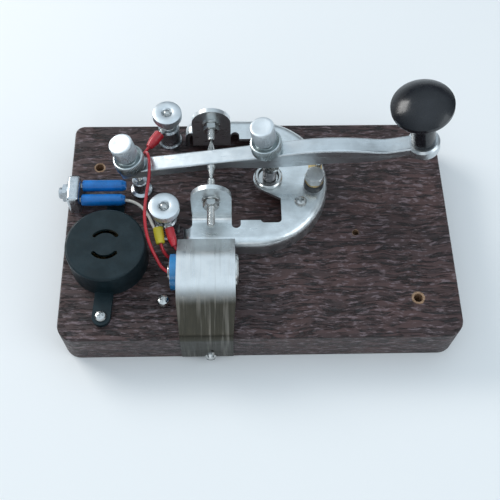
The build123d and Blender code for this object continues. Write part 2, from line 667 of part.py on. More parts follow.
# ---------------------------------------------------------------- cell and strap
CELL_Z = CELL_D / 2 + SLEEVE_T
cell_start = Plane(origin=at(CELL_X - CELL_L / 2, CELL_Y, CELL_Z), x_dir=(0, 1, 0), z_dir=(1, 0, 0))
cr = CELL_D / 2
with BuildPart() as cell_can:
    add(turned(cell_start, [(0, 0.9), (cr - 4.8, 0.9), (cr - 4.6, 1.4), (cr - 1.6, 1.4),
                            (cr - 1.2, 0.6), (cr - 0.4, 0.6), (cr, 1.0), (cr, CELL_L - 0.8),
                            (cr - 0.8, CELL_L), (cr - 2.0, CELL_L), (cr - 2.4, CELL_L - 0.4),
                            (0, CELL_L - 0.4)]))
cell_can.part.label = "cell_can"
with BuildPart() as cell_cap:
    add(turned(cell_start, [(0, 0.9), (cr - 4.9, 0.9), (cr - 5.2, -0.3), (0, -0.3)]))
cell_cap.part.label = "cell_cap"
with BuildPart() as cell_sleeve:
    add(turned(cell_start, [(cr, 1.1), (cr + SLEEVE_T, 1.1), (cr + SLEEVE_T, CELL_L - 1.6),
                            (cr, CELL_L - 1.6)]))
cell_sleeve.part.label = "cell_sleeve"

STRAP_UNDER = CELL_Z + cr + SLEEVE_T + 0.1
FRONT = -BOARD_W / 2
STRAP_HOLE_Z = 5.6
with BuildPart() as battery_strap:
    with BuildLine(Plane(origin=(STRAP_X + STRAP_W / 2, 0, TOP), x_dir=(0, -1, 0),
                         z_dir=(-1, 0, 0))):
        profile = FilletPolyline((15.2, FRAME_H - 0.15), (26.6, STRAP_UNDER),
                                 (43.5, STRAP_UNDER), (-FRONT + 0.15, 2.6),
                                 (-FRONT + 0.15, -21.0), radius=STRAP_BENDS)
    make_brake_formed(thickness=STRAP_T, station_widths=STRAP_W, side=Side.LEFT, line=profile)
    outline = Plane(origin=(STRAP_X, 0, 0))
    with BuildSketch(outline.offset(-5)):
        for side in (-1, 1):
            with BuildLine():
                Polyline((side * STRAP_W / 2, -50), (side * STRAP_FOOT_W / 2, FRONT),
                         (side * STRAP_FOOT_W / 2, FRONT - 10), (side * STRAP_W, FRONT - 10),
                         (side * STRAP_W, -50), close=True)
            make_face()
    extrude(amount=TOP + 40, mode=Mode.SUBTRACT)
    with Locations(Plane(origin=(STRAP_X + 1.5, FRONT, STRAP_HOLE_Z), z_dir=(0, -1, 0))):
        Cylinder(1.7, 10, mode=Mode.SUBTRACT)
    with Locations(Plane(origin=(STRAP_X + 2.5, FRONT, 11.0), z_dir=(0, -1, 0))):
        Cylinder(0.9, 10, mode=Mode.SUBTRACT)
battery_strap.part.label = "battery_strap"

with BuildPart() as strap_screw:
    seat = Plane(origin=(STRAP_X + 1.5, FRONT - 0.15 - STRAP_T, STRAP_HOLE_Z), x_dir=(1, 0, 0),
                 z_dir=(0, -1, 0))
    add(turned(seat, [(0, -14), (0.4, -14), (1.6, -11), (1.6, 0), (3.1, 0), (3.0, 1.0), (2.2, 2.2),
                      (1.0, 2.8), (0, 2.9)]))
    with BuildSketch(seat.offset(1.9)):
        Rectangle(7, 0.7)
    extrude(amount=2, mode=Mode.SUBTRACT)
strap_screw.part.label = "strap_screw"

# ---------------------------------------------------------------- line socket and its leads
JACK_BODY_X = -98.6       # left face of the socket's body
JACK_BODY_L = 6.4
JACK_BORE_D = 3.6
TUBE_D = 6.0
TUBE_YS = {"rear": JACK_Y + 4.3, "front": JACK_Y - 4.3}
TUBE_X = (-91.4, -69.0)
bush_start = Plane(origin=at(JACK_BODY_X, JACK_Y, JACK_Z), x_dir=(0, 1, 0), z_dir=(-1, 0, 0))
with BuildPart() as jack_body:
    with BuildSketch(level(0.2)):
        with Locations((JACK_BODY_X + JACK_BODY_L / 2, JACK_Y)):
            RectangleRounded(JACK_BODY_L, 15.0, 1.6)
    extrude(amount=JACK_Z + 5.6)
    fillet(jack_body.edges().group_by(Axis.Z)[-1], 1.6)
    add(turned(bush_start, [(0, -1), (3.0, -1), (3.0, 4.2), (2.6, 4.6), (0, 4.6)]))
    with Locations(Plane(origin=at(JACK_BODY_X - 4.6, JACK_Y, JACK_Z), x_dir=(0, 1, 0),
                         z_dir=(-1, 0, 0))):
        Hole(JACK_BORE_D / 2, depth=9.6)
jack_body.part.label = "jack_body"
with BuildPart() as jack_nut:
    add(hex_ring(bush_start.offset(0.05), 9.0, 6.1, 2.4))
jack_nut.part.label = "jack_nut"
with BuildPart() as jack_tags:
    for y in TUBE_YS.values():
        with Locations((JACK_BODY_X + JACK_BODY_L + 2.5, y, TOP + JACK_Z)):
            Box(5.0, 2.6, 0.5)
jack_tags.part.label = "jack_tags"
for name, y in TUBE_YS.items():
    start = Plane(origin=at(TUBE_X[0], y, JACK_Z), x_dir=(0, 1, 0), z_dir=(1, 0, 0))
    length = TUBE_X[1] - TUBE_X[0]
    r = TUBE_D / 2
    tube = turned(start, [(1.5, 0), (r - 0.3, 0), (r, 0.4), (r, length - 2.0), (r - 0.9, length),
                          (WIRE_D / 2 + SLEEVE_GAP, length), (WIRE_D / 2 + SLEEVE_GAP, 6.0), (1.5, 6.0)])
    tube.label = f"lead_sleeve_{name}"
    sleeves[tube.label] = tube

# ---------------------------------------------------------------- hook-up leads
ROUTES = {
    "lead_rear_post": [
        lug_exit("rear_red", 6.3), lug_exit("rear_red", 12.2), at(-60.0, 32.6, 15.6),
        at(-58.6, 30.4, 22.4), at(-55.8, 26.0, 28.6), at(-54.6, 18.4, 30.3),
        at(-54.8, 10.6, 28.0), at(-56.2, 2.6, 25.2), at(-57.0, -6.0, 22.6),
        at(-56.2, -14.2, 19.4), at(-53.8, -21.2, 15.2), at(-50.6, -26.4, 11.2),
        at(-48.6, -29.6, 9.4), at(-45.6, -31.5, 8.9)],
    "lead_front_red": [
        lug_exit("front_red", 6.3), lug_exit("front_red", 10.6), at(-39.6, -21.5, 10.4),
        at(-36.0, -21.2, 7.8), at(-31.4, -20.9, 4.2), at(-25.4, -21.3, 2.2),
        at(-19.6, -22.4, 1.4), at(-14.6, -25.0, 2.0)],
    "lead_front_yellow": [
        lug_exit("front_yellow", 6.3), lug_exit("front_yellow", 10.4), at(-46.7, -22.3, 8.2),
        at(-44.3, -21.9, 4.4), at(-40.0, -20.4, 2.2), at(-34.8, -19.4, 1.2),
        at(-28.6, -19.4, 1.0), at(-22.2, -20.0, 1.1)],
    "lead_socket": [
        at(-74.2, TUBE_YS["front"], JACK_Z), at(-67.2, TUBE_YS["front"], JACK_Z),
        at(-60.8, 8.4, 5.8), at(-56.8, 3.4, 3.8), at(-54.6, -2.2, 2.5), at(-52.0, -6.6, 2.4)],
}
BOARD_SCREW = (-48.2, -43.5)
with BuildPart() as board_screw:
    add(pan_screw(Plane(origin=at(*BOARD_SCREW, 0)), 6.4, 3.2, 3.0, 11))
board_screw.part.label = "board_screw"
leads = {}
for name, points in ROUTES.items():
    lead = wire(points, WIRE_D)
    lead.label = name
    leads[name] = lead

# ---------------------------------------------------------------- board, drilled for its screws
with BuildPart() as base_board:
    with BuildSketch():
        Rectangle(BOARD_L, BOARD_W)
    extrude(amount=BOARD_T)
    uprights = base_board.edges().filter_by(Axis.Z)
    fillet(uprights.group_by(Axis.Y)[-1], BOARD_R_REAR)
    uprights = base_board.edges().filter_by(Axis.Z)
    fillet(uprights.group_by(Axis.Y)[0], BOARD_R_FRONT)
    fillet(base_board.faces().sort_by(Axis.Z)[-1].edges(), 1.0)
    with Locations(*[at(x, y, 0) for x, y in BOARD_HOLES]):
        Hole(BOARD_HOLE_D / 2)
    with Locations(at(*PILOT_HOLE, 0)):
        Hole(PILOT_D / 2, depth=14)
    with Locations(*[at(x, y, 0) for x, y in FRAME_SCREWS]):
        Hole(1.65, depth=10)
    with Locations(*[at(x, y, 0) for x, y in [*lug_places, BOARD_SCREW]]):
        Hole(1.55, depth=11)
    with Locations(Plane(origin=(STRAP_X + 1.5, FRONT, STRAP_HOLE_Z), z_dir=(0, -1, 0))):
        Hole(1.65, depth=14)
base_board.part.label = "base_board"

built = (base_board, key_frame, frame_spacers, frame_screws, pivot_screws, pivot_washers,
         pivot_nuts, lever_axle, lever, knob, knob_screw, contact_stud, gap_screw,
         gap_locknut, spring_screw, spring_locknut, spring_cap, spring_cup, return_spring,
         anvil_bush, anvil_strip, anvil_bolt, anvil_washer, anvil_nut, tail_anvil,
         post_pillars, post_washers, buzzer_case, buzzer_base, buzzer_disc, buzzer_screws,
         cell_can, cell_cap, cell_sleeve, battery_strap, strap_screw, jack_body, jack_nut,
         jack_tags, board_screw)
for piece in built:
    export_step(piece.part, f"parts/{piece.part.label}.step")
for solid in (*thumb_nuts.values(), *lugs.values(), *sleeves.values(), *leads.values()):
    export_step(solid, f"parts/{solid.label}.step")
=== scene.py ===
import json
import math

import bmesh
import bpy
from mathutils import Matrix, Vector


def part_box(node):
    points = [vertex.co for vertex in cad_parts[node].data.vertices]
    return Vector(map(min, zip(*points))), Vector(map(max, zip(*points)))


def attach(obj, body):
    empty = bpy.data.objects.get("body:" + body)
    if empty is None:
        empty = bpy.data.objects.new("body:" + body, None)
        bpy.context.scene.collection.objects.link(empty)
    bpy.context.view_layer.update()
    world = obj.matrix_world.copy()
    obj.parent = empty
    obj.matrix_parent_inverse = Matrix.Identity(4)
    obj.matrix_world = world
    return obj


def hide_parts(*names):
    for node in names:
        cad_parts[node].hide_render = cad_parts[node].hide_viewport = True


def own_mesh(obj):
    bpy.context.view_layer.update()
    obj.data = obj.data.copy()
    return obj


# Looks of a straight morse key on a practice board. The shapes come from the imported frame. This script
# adds knurled and threaded pieces, the leads' curves, all materials, the floor, lights and camera.

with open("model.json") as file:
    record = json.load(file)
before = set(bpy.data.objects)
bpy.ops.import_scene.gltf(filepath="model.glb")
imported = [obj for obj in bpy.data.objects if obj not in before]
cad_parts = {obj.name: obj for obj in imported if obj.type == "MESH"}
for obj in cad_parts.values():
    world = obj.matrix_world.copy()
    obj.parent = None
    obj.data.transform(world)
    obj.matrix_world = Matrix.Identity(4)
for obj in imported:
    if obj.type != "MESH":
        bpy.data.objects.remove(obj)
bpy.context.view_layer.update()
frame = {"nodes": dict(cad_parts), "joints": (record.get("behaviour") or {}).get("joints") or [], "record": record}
MM = 0.001
JOINTS = {j["name"]: j for j in frame["joints"]}
BOARD_LOW, BOARD_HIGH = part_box("base_board")
TOP = BOARD_HIGH.z


# ---------------------------------------------------------------- node helpers
class Nodes:
    """Small builder for one material's node tree. Lengths are in metres in the row frame."""

    def __init__(self, name):
        self.material = bpy.data.materials.new(name)
        self.material.use_nodes = True
        self.tree = self.material.node_tree
        self.shader = self.tree.nodes["Principled BSDF"]
        self.coord = self.tree.nodes.new("ShaderNodeTexCoord").outputs["Object"]

    def link(self, source, target):
        self.tree.links.new(source, target)

    def put(self, socket, value):
        """Links a socket, or sets a plain value."""
        if isinstance(value, bpy.types.NodeSocket):
            self.link(value, socket)
        elif isinstance(value, tuple) and len(value) == 3 and socket.type == "RGBA":
            socket.default_value = (*value, 1)
        else:
            socket.default_value = value

    def set(self, **values):
        """Sets the shader's inputs, named with _ for a space."""
        for key, value in values.items():
            self.put(self.shader.inputs[key.replace("_", " ")], value)

    def stretch(self, scale, source=None):
        """Coordinates times a scale for each axis."""
        node = self.tree.nodes.new("ShaderNodeMapping")
        self.put(node.inputs["Vector"], source or self.coord)
        node.inputs["Scale"].default_value = scale
        return node.outputs["Vector"]

    def noise(self, scale, detail=3.0, rough=0.5, vector=None, distortion=0.0):
        node = self.tree.nodes.new("ShaderNodeTexNoise")
        self.put(node.inputs["Vector"], vector or self.coord)
        node.inputs["Scale"].default_value = scale
        node.inputs["Detail"].default_value = detail
        node.inputs["Roughness"].default_value = rough
        node.inputs["Distortion"].default_value = distortion
        return node.outputs["Fac"]

    def math(self, operation, a, b=0.0, c=0.0):
        node = self.tree.nodes.new("ShaderNodeMath")
        node.operation = operation
        for socket, value in zip(node.inputs, (a, b, c)):
            self.put(socket, value)
        return node.outputs["Value"]

    def span(self, value, low, high, out_low=0.0, out_high=1.0):
        """Value mapped from low..high to out_low..out_high, with soft ends."""
        node = self.tree.nodes.new("ShaderNodeMapRange")
        node.interpolation_type = "SMOOTHSTEP"
        for socket, v in zip(node.inputs, (value, low, high, out_low, out_high)):
            self.put(socket, v)
        return node.outputs["Result"]

    def mix(self, share, a, b):
        node = self.tree.nodes.new("ShaderNodeMix")
        node.data_type = "RGBA"
        self.put(node.inputs["Factor"], share)
        self.put(node.inputs["A"], a)
        self.put(node.inputs["B"], b)
        return node.outputs["Result"]

    def axes(self, source=None):
        node = self.tree.nodes.new("ShaderNodeSeparateXYZ")
        self.put(node.inputs[0], source or self.coord)
        return node.outputs["X"], node.outputs["Y"], node.outputs["Z"]

    def facing(self):
        """The surface's own normal."""
        return self.axes(self.tree.nodes.new("ShaderNodeNewGeometry").outputs["Normal"])

    def bump(self, height, strength, distance, under=None):
        node = self.tree.nodes.new("ShaderNodeBump")
        node.inputs["Strength"].default_value = strength
        node.inputs["Distance"].default_value = distance
        self.put(node.inputs["Height"], height)
        if under is not None:
            self.link(under, node.inputs["Normal"])
        self.link(node.outputs["Normal"], self.shader.inputs["Normal"])
        return node.outputs["Normal"]


# ---------------------------------------------------------------- materials
def board_material():
    """Dark wood-print laminate, embossed along X, with painted lilac-grey highlight streaks, and raw wood in its
    holes.
    """
    n = Nodes("board_laminate")
    x, y, z = n.axes()
    drift = n.math("MULTIPLY", n.noise(55, 2), 0.006)
    waved = n.tree.nodes.new("ShaderNodeCombineXYZ")
    for socket, value in zip(waved.inputs, (x, n.math("ADD", y, drift), z)):
        n.put(socket, value)
    along = n.stretch((34, 470, 470), waved.outputs[0])
    grain = n.noise(1.0, 4, 0.6, along)
    fine = n.noise(1.0, 3, 0.7, n.stretch((260, 2600, 2600), waved.outputs[0]))
    ridge = n.math("ABSOLUTE", n.math("SUBTRACT", grain, 0.5))
    patches = n.noise(38, 3, 0.6)
    broken = n.span(n.noise(1.0, 2, 0.5, n.stretch((120, 300, 300))), 0.36, 0.52)
    crack = n.math("MULTIPLY", n.span(ridge, 0.012, 0.05, 1.0, 0.0), broken)
    tone = n.mix(n.span(grain, 0.3, 0.72), (0.020, 0.008, 0.008), (0.066, 0.030, 0.028))
    tone = n.mix(n.span(fine, 0.35, 0.75, 0.0, 0.55), tone, (0.030, 0.013, 0.013))
    tone = n.mix(n.span(patches, 0.42, 0.68, 0.0, 0.55), tone, (0.078, 0.033, 0.028))
    # Painted highlight: lilac-grey glint streaks mixed into the base colour stand in for the satin sheen. The same
    # noise also makes these streaks less rough.
    glint = n.noise(1.0, 3, 0.7, n.stretch((210, 640, 640), waved.outputs[0]))
    tone = n.mix(n.span(glint, 0.52, 0.64, 0.0, 0.62), tone, (0.190, 0.140, 0.152))
    tone = n.mix(n.math("MULTIPLY", crack, 0.92), tone, (0.004, 0.002, 0.002))
    raw = n.mix(n.noise(900, 3, 0.6), (0.20, 0.10, 0.05), (0.46, 0.30, 0.18))
    chips = n.math("MULTIPLY", n.noise(700, 3, 0.7), 1.5 * MM)
    worn = 0.0
    for name, rim in (("board_hole_rear", 0.9), ("board_hole_front", 1.3), ("spare_hole", 0.3)):
        mount = next(m for m in frame["record"]["mounts"] if m["name"] == name)
        dx = n.math("SUBTRACT", x, mount["pos_m"][0])
        dy = n.math("SUBTRACT", y, mount["pos_m"][1])
        away = n.math("SQRT", n.math("ADD", n.math("MULTIPLY", dx, dx), n.math("MULTIPLY", dy, dy)))
        edge = (mount["dims"]["r_mm"] + rim) * MM
        reach = n.math("ADD", away, chips)
        near = n.span(reach, edge + 0.2 * MM, edge + 0.9 * MM, 1.0, 0.0)
        worn = n.math("MAXIMUM", worn, near)
    underside = n.span(n.facing()[2], -0.9, -0.6, 1.0, 0.0)
    tone = n.mix(worn, tone, raw)
    tone = n.mix(n.math("MULTIPLY", underside, 0.8), tone, (0.16, 0.10, 0.065))
    n.set(Base_Color=tone, Specular_IOR_Level=0.55)
    n.set(Roughness=n.span(glint, 0.45, 0.7, 0.50, 0.30))
    rise = n.math("SUBTRACT", n.math("ADD", n.math("MULTIPLY", grain, 0.7),
                                     n.math("MULTIPLY", fine, 0.25)), crack)
    n.bump(n.math("SUBTRACT", rise, n.math("MULTIPLY", worn, 0.8)), 0.75, 0.5 * MM)
    return n.material


def metal(name, colour, rough, grain=0.1, scratches=0.25, lines=(900, 60, 900), stain=0.2,
          dents=0.0):
    """Satin metal with fine scratches along one axis, cloudy stains and soft dents."""
    n = Nodes(name)
    brushed = n.noise(1.0, 4, 0.7, n.stretch(lines))
    crossed = n.noise(1.0, 2, 0.6, n.stretch((lines[1] * 3, lines[0] * 0.8, lines[2] * 0.6)))
    cloud = n.noise(140, 4, 0.6)
    dark = tuple(c * (1 - stain) for c in colour)
    tone = n.mix(n.span(cloud, 0.35, 0.7), colour, dark)
    tone = n.mix(n.span(brushed, 0.55, 0.8, 0.0, 0.35), tone, tuple(c * 0.72 for c in colour))
    n.set(Base_Color=tone, Metallic=1.0)
    uneven = n.math("ADD", n.span(brushed, 0.3, 0.75, rough - grain * 0.5, rough + grain),
                    n.span(cloud, 0.4, 0.7, 0.0, grain * 0.6))
    n.set(Roughness=uneven)
    first = n.bump(n.math("ADD", brushed, n.math("MULTIPLY", crossed, 0.5)), scratches, 0.04 * MM)
    if dents:
        n.bump(n.noise(160, 2, 0.4), dents, 0.8 * MM, first)
    return n.material


def plastic(name, colour, rough, speckle=0.15, texture=0.15, scale=1800, coat=0.0, shine=0.5):
    """Moulded plastic: a fine skin texture, slight mottling."""
    n = Nodes(name)
    skin = n.noise(scale, 3, 0.6)
    cloud = n.noise(120, 3, 0.5)
    light = tuple(min(1.0, c * (1 + speckle) + 0.004) for c in colour)
    tone = n.mix(n.span(cloud, 0.35, 0.7), colour, light)
    tone = n.mix(n.span(skin, 0.45, 0.7, 0.0, 0.4), tone, tuple(c * (1 - speckle) for c in colour))
    n.set(Base_Color=tone, Specular_IOR_Level=shine, Coat_Weight=coat, Coat_Roughness=0.15)
    n.set(Roughness=n.span(n.noise(260, 3, 0.6), 0.3, 0.75, rough - 0.06, rough + 0.1))
    n.bump(skin, texture, 0.05 * MM)
    return n.material


def strap_material():
    """Rolled sheet, bright over the cell and with a painted dark reflection down its leg, scratched along its
    length.
    """
    n = Nodes("brushed_strap")
    y = n.axes()[1]
    lines = n.noise(1.0, 4, 0.7, n.stretch((1300, 40, 40)))
    marks = n.noise(1.0, 3, 0.6, n.stretch((520, 26, 26)))
    cloud = n.noise(120, 4, 0.6)
    # Painted reflection: the leg near the sheet's front edge is darkened in the base colour to stand in for the
    # dark room it reflects. The darkening fades out higher up the sheet.
    reach = n.math("ADD", y, n.math("MULTIPLY", cloud, 3 * MM))
    painted_reflection_leg = n.span(reach, STRAP_PAINTED_REFLECTION_FULL, STRAP_PAINTED_REFLECTION_END, 1.0, 0.0)
    tone = n.mix(n.span(cloud, 0.4, 0.7, 0.0, 0.3), (0.74, 0.76, 0.76), (0.52, 0.54, 0.54))
    tone = n.mix(n.span(marks, 0.52, 0.66, 0.0, 0.3), tone, (0.46, 0.47, 0.46))
    tone = n.mix(painted_reflection_leg, tone, n.mix(n.span(marks, 0.5, 0.7), (0.060, 0.057, 0.046), (0.16, 0.15, 0.13)))
    n.set(Base_Color=tone, Metallic=1.0, Roughness=n.span(lines, 0.3, 0.75, 0.26, 0.46))
    first = n.bump(n.math("ADD", lines, n.math("MULTIPLY", marks, 0.6)), 0.4, 0.04 * MM)
    n.bump(n.noise(160, 2, 0.4), 0.25, 0.8 * MM, first)
    return n.material


STRAP_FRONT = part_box("battery_strap")[0].y
# Where along Y the strap's painted dark reflection is full, and where it has faded out.
STRAP_PAINTED_REFLECTION_FULL = STRAP_FRONT + 15 * MM
STRAP_PAINTED_REFLECTION_END = STRAP_FRONT + 24.5 * MM
MATERIALS = {
    "board_wood": board_material(),
    "pressed_aluminium": metal("satin_aluminium", (0.74, 0.78, 0.79), 0.30, 0.12, 0.24,
                               (70, 700, 700), 0.16, dents=0.25),
    "lever_aluminium": metal("lever_metal", (0.66, 0.70, 0.72), 0.32, 0.12, 0.34,
                             (60, 900, 900), 0.14, dents=0.22),
    "strap_aluminium": strap_material(),
    "plated_steel": metal("nickel_plate", (0.56, 0.60, 0.63), 0.27, 0.10, 0.22,
                          (500, 500, 500), 0.25),
    "satin_nickel": metal("satin_nickel", (0.74, 0.79, 0.82), 0.42, 0.10, 0.25,
                          (700, 700, 700), 0.14),
    "plated_nut": metal("plated_nut", (0.56, 0.62, 0.63), 0.30, 0.10, 0.22,
                        (500, 500, 500), 0.2),
    "frosted_steel": metal("frosted_steel", (0.78, 0.80, 0.80), 0.46, 0.10, 0.3,
                           (900, 900, 900), 0.2),
    "bright_steel": metal("bright_zinc", (0.62, 0.63, 0.62), 0.20, 0.08, 0.15,
                          (400, 700, 700), 0.3),
    "spring_steel": metal("spring_wire", (0.28, 0.28, 0.29), 0.32, 0.1, 0.2, (600, 600, 600), 0.3),
    "brass": metal("aged_brass", (0.72, 0.52, 0.24), 0.28, 0.12, 0.2, (500, 500, 500), 0.4),
    "knob_black": plastic("knob_plastic", (0.005, 0.006, 0.009), 0.25, 0.3, 0.06, 900, 0.2, 0.4),
    "black_insulator": plastic("black_moulding", (0.018, 0.018, 0.020), 0.45),
    "buzzer_slate": plastic("buzzer_moulding", (0.006, 0.015, 0.019), 0.36, 0.4, 0.30, 1500, 0.0, 0.24),
    "cell_wrap": plastic("cell_wrap", (0.02, 0.20, 0.45), 0.22, 0.2, 0.08, 600, 0.4),
    "sleeve_blue": plastic("blue_tube", (0.0, 0.13, 0.42), 0.35, 0.35, 0.2, 1200, 0.1),
    "insulation_red": plastic("red_insulation", (0.42, 0.012, 0.022), 0.30, 0.25, 0.12, 1600, 0.2),
    "insulation_yellow": plastic("yellow_insulation", (0.52, 0.44, 0.03), 0.38, 0.2, 0.15, 1400),
    "lead_white": plastic("pale_insulation", (0.66, 0.62, 0.56), 0.36, 0.15, 0.15, 1400),
}
OWN_LOOK = {"lever": "lever_aluminium", "anvil_bolt": "frosted_steel"}
for entry in frame["record"]["subparts"]:
    look = OWN_LOOK.get(entry["node"], entry["material_slot"])
    mesh = frame["nodes"][entry["node"]].data
    mesh.materials.clear()
    mesh.materials.append(MATERIALS[look])


# ---------------------------------------------------------------- mesh helpers
def stand(origin, axis=(0, 0, 1)):
    """Matrix that stands local Z on an axis through an origin in metres; local units are mm."""
    turn = Vector(axis).normalized().to_track_quat("Z", "Y").to_matrix().to_4x4()
    return Matrix.Translation(origin) @ turn @ Matrix.Scale(MM, 4)


def skin(name, rings, matrix, material, smooth_angle=40):
    """Closed surface through rings of equal size; a ring of one point closes to a tip."""
    mesh = bmesh.new()
    rows = [[mesh.verts.new(p) for p in ring] for ring in rings]
    for a, b in zip(rows, rows[1:]):
        count = max(len(a), len(b))
        for i in range(count):
            j = (i + 1) % count
            corners = [a[i % len(a)], a[j % len(a)], b[j % len(b)], b[i % len(b)]]
            mesh.faces.new(list(dict.fromkeys(corners)))
    if len(rows[0]) > 1:
        mesh.faces.new(list(reversed(rows[0])))
    if len(rows[-1]) > 1:
        mesh.faces.new(rows[-1])
    bmesh.ops.recalc_face_normals(mesh, faces=mesh.faces)
    return finish_mesh(name, mesh, matrix, material, smooth_angle)


def finish_mesh(name, mesh, matrix, material, smooth_angle=40):
    """Object of a bmesh, placed by a matrix, smooth but for its sharp edges."""
    data = bpy.data.meshes.new(name)
    mesh.to_mesh(data)
    mesh.free()
    data.transform(matrix)
    data.materials.append(MATERIALS[material])
    data.shade_smooth()
    data.set_sharp_from_angle(angle=math.radians(smooth_angle))
    piece = bpy.data.objects.new(name, data)
    bpy.context.scene.collection.objects.link(piece)
    return piece


def join(name, pieces):
    """One object from several."""
    with bpy.context.temp_override(active_object=pieces[0], selected_editable_objects=pieces):
        bpy.ops.object.join()
    pieces[0].name = name
    return pieces[0]


PLAIN_POINTS = 120        # points round a plain turned piece
TOOTH_POINTS = 6          # points in each tooth of a knurl


def ring(r, z, count, teeth=0, depth=0.0):
    """Circle of points, with a tooth profile cut into it."""
    points = []
    for i in range(count):
        a = 2 * math.pi * i / count
        cut = depth * (0.5 - 0.5 * math.cos(teeth * a)) if teeth else 0.0
        points.append(((r - cut) * math.cos(a), (r - cut) * math.sin(a), z))
    return points


def turned_rings(profile, teeth=0, depth=0.0, knurl=(0, 0), knurl_r=0.0):
    """Rings of a profile of (radius, height); the wall inside the knurl's heights gets teeth."""
    count = teeth * TOOTH_POINTS if teeth else PLAIN_POINTS
    rows = []
    for r, z in profile:
        if r == 0:
            rows.append([(0, 0, z)])
            continue
        cut = knurl[0] <= z <= knurl[1] and r >= knurl_r
        rows.append(ring(r, z, count, teeth if cut else 0, depth))
    return rows


def thread_rings(r, depth, pitch, low, high, count=40, steps=8):
    """Rings of a helical thread along Z."""
    rows = []
    total = int((high - low) / pitch * steps)
    for k in range(total + 1):
        z = low + (high - low) * k / total
        fade = min(1.0, (z - low) / pitch, (high - z) / pitch)
        row = []
        for i in range(count):
            phase = (z / pitch - i / count) % 1.0
            crest = abs(2 * phase - 1)
            rr = r - depth * (1 - crest) * fade - depth * (1 - fade)
            a = 2 * math.pi * i / count
            row.append((rr * math.cos(a), rr * math.sin(a), z))
        rows.append(row)
    return rows


def tube_skin(name, rows, matrix, material, smooth_angle=40):
    """Closed ring-shaped surface: the last row is the first one again."""
    mesh = bmesh.new()
    made = [[mesh.verts.new(p) for p in row] for row in rows[:-1]]
    made.append(made[0])
    for a, b in zip(made, made[1:]):
        count = len(a)
        for i in range(count):
            j = (i + 1) % count
            mesh.faces.new((a[i], a[j], b[j], b[i]))
    bmesh.ops.recalc_face_normals(mesh, faces=mesh.faces)
    return finish_mesh(name, mesh, matrix, material, smooth_angle)


# ---------------------------------------------------------------- screws through the lever
AXIS_TO_TOP = 3.1         # from the lever's axis line to its top, mm
NUT_H = 8.6
NUT_R = 7.9
HEAD_LOW = AXIS_TO_TOP + NUT_H + 0.5
HEAD_H = 10.5
HEAD_R = 5.9


def thumb_screw(name, joint, low):
    """Screw with a tall knurled head and a threaded shank."""
    j = JOINTS[joint]
    at = stand(j["pos_m"], j["axis"])
    top = HEAD_LOW + HEAD_H
    r = HEAD_R
    head = turned_rings(
        [(0, HEAD_LOW), (1.9, HEAD_LOW), (r - 0.9, HEAD_LOW), (r - 0.35, HEAD_LOW + 0.3),
         (r, HEAD_LOW + 0.9), (r, top - 2.2), (r - 0.35, top - 1.9), (r - 0.35, top - 1.5),
         (r, top - 1.2), (r, top - 0.7), (r - 0.35, top - 0.15), (r - 0.9, top), (r - 1.6, top),
         (2.6, top - 0.12), (0, top - 0.12)],
        teeth=48, depth=0.50, knurl=(HEAD_LOW + 0.8, top - 2.1), knurl_r=r)
    shank = [[(0, 0, low)], ring(1.3, low, 40)]
    shank += thread_rings(1.98, 0.3, 0.7, low + 0.45, HEAD_LOW - 0.2)
    shank += [ring(1.7, HEAD_LOW + 0.1, 40)]
    screw = join(name, [skin(name, head, at, "satin_nickel"),
                        skin(name + "_shank", shank, at, "bright_steel", 60)])
    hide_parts(name[:-4])
    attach(screw, name[:-4])


def thumb_nut_ring(name, joint):
    """Round lock nut with a knurled rim, standing on the lever."""
    screw = JOINTS[joint.replace("locknut", "screw")]
    at = stand(screw["pos_m"], screw["axis"])
    low = AXIS_TO_TOP
    top = low + NUT_H
    r = NUT_R
    rows = turned_rings(
        [(2.06, low), (r - 2.7, low), (r - 2.3, low + 0.9), (r - 0.5, low + 1.2),
         (r, low + 1.8), (r, top - 1.6), (r - 0.45, top - 1.1), (r - 1.0, top - 0.95),
         (r - 1.4, top - 1.25), (r - 1.7, top - 2.0), (4.2, top - 2.9), (3.9, top - 2.6), (3.7, top),
         (2.4, top), (2.06, top - 0.4)],
        teeth=64, depth=0.45, knurl=(low + 1.7, top - 1.5), knurl_r=r)
    rows.append(rows[0])
    nut = tube_skin(name, rows, at, "plated_nut")
    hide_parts(name[:-4])
    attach(nut, name[:-4])


thumb_screw("gap_screw_vis", "gap_screw_turn", -10.2)
thumb_screw("spring_screw_vis", "spring_screw_turn", -11.0)
thumb_nut_ring("gap_locknut_vis", "gap_locknut_turn")
thumb_nut_ring("spring_locknut_vis", "spring_locknut_turn")


# ---------------------------------------------------------------- binding posts
POST_X, POST_YS = -47.3, {"rear": 53.5, "front": -3.0}
POST_H = 14.0
DISC_TOP = 25.4
DISC_R = 7.7


def binding_post(name, y):
    """Turned pillar with a threaded stud."""
    at = stand((POST_X * MM, y * MM, TOP))
    body = turned_rings([(0, 0), (6.4, 0), (6.4, 1.2), (6.2, 1.4), (5.6, 2.0), (5.6, POST_H - 1.6),
                         (5.2, POST_H - 1.2), (5.2, POST_H - 0.9), (5.6, POST_H - 0.5),
                         (5.1, POST_H), (1.9, POST_H), (0, POST_H)])
    stud = [[(0, 0, POST_H - 0.4)]]
    stud += thread_rings(1.97, 0.3, 0.7, POST_H - 0.4, DISC_TOP + 0.1)
    stud += [ring(1.3, DISC_TOP + 0.4, 40), [(0, 0, DISC_TOP + 0.4)]]
    post = join(name, [skin(name, body, at, "plated_steel"),
                       skin(name + "_stud", stud, at, "bright_steel", 60)])
    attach(post, "base")
    return post


